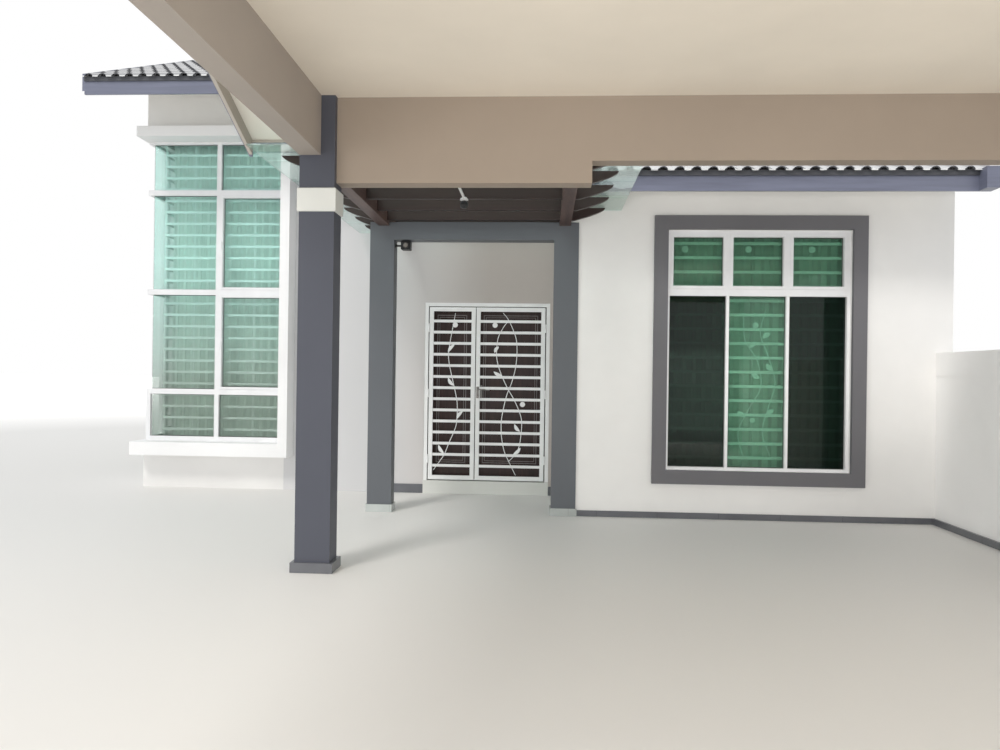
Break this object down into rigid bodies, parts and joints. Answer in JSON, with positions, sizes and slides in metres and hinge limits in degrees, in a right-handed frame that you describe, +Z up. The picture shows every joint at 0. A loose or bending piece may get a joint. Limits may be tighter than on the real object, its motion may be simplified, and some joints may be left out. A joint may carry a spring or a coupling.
{
  "type": "bungalow",
  "caption": "Single-storey terrace-end house with a high corner window, a lower bedroom wing, a glazed timber pergola over the entrance and a tiled car porch.",
  "frame": {"origin": "on the ground under the doorway's threshold, on the entrance axis and in the plane of the entrance wall's outer face", "axes": "+Z up from the ground; -Y out of the front of the house, towards the street; +X to the right as seen from the street, towards the party wall"},
  "size_m": [9.01, 17.633, 6.8537],
  "materials": {
    "white_plaster": "smooth painted plaster",
    "grey_plaster": "smooth painted plaster",
    "taupe_plaster": "smooth painted plaster",
    "ceiling_board": "smooth painted board",
    "concrete": "smooth screed",
    "white_band": "painted plaster",
    "pale_tile": "glazed pale tile",
    "dark_tile": "glazed dark tile",
    "roof_tile": "matt concrete tile",
    "blue_board": "painted board",
    "white_frame": "powder coated",
    "white_steel": "gloss painted steel",
    "window_glass": "green tinted glass",
    "roof_glass": "pale green laminated glass",
    "curtain_cloth": "pleated cloth",
    "dark_timber": "dark varnished timber",
    "pergola_timber": "dark stained timber",
    "black_metal": "matt black metal"
  },
  "bodies": {
    "house": {"floor_slab": "concrete", "door_threshold": "concrete", "front_wall": "white_plaster", "foyer_side_wall": "white_plaster", "entrance_wall": "white_plaster", "entrance_wall_head": "white_plaster", "bay_wall": "white_plaster", "left_wall": "white_plaster", "rear_wall": "white_plaster", "cross_wall": "white_plaster", "party_wall": "white_plaster", "high_roof_front": "roof_tile", "high_roof_rear": "roof_tile", "low_roof_front": "roof_tile", "low_roof_rear": "roof_tile", "ridge_tiles": "roof_tile", "fascia_boards": "blue_board", "barge_boards": "blue_board", "bay_surround": "white_plaster", "window_surrounds": "grey_plaster", "window_frames": "white_frame", "window_glass": "window_glass", "curtains": "curtain_cloth", "curtain_rails": "white_frame", "grille_frame": "white_steel", "timber_frame": "dark_timber", "porch_columns": "grey_plaster", "column_collars": "white_band", "skirtings": "dark_tile", "porch_cross_beams": "taupe_plaster", "porch_side_beams": "taupe_plaster", "porch_ceiling": "ceiling_board", "porch_roof_front": "roof_tile", "porch_roof_rear": "roof_tile", "entrance_portal": "grey_plaster", "portal_plinths": "pale_tile", "pergola_rafters": "pergola_timber", "pergola_purlins": "pergola_timber", "pergola_glass": "roof_glass", "boundary_wall": "white_plaster", "lamps": "black_metal"},
    "left_grille": {"grille_leaf_left": "white_steel"},
    "right_grille": {"grille_leaf_right": "white_steel"},
    "left_timber_door": {"timber_leaf_left": "dark_timber"},
    "right_timber_door": {"timber_leaf_right": "dark_timber"}
  },
  "joints": [
    {"name": "left_grille_hinge", "type": "hinge", "parent": "house", "child": "left_grille", "pos_m": [-0.615, -0.003, 1.19], "axis": [0, 0, -1], "range_deg": [0, 95]},
    {"name": "right_grille_hinge", "type": "hinge", "parent": "house", "child": "right_grille", "pos_m": [0.757, -0.003, 1.19], "axis": [0, 0, 1], "range_deg": [0, 95]},
    {"name": "left_timber_hinge", "type": "hinge", "parent": "house", "child": "left_timber_door", "pos_m": [-0.607, 0.159, 1.19], "axis": [0, 0, 1], "range_deg": [0, 95]},
    {"name": "right_timber_hinge", "type": "hinge", "parent": "house", "child": "right_timber_door", "pos_m": [0.749, 0.159, 1.19], "axis": [0, 0, -1], "range_deg": [0, 95]}
  ]
}
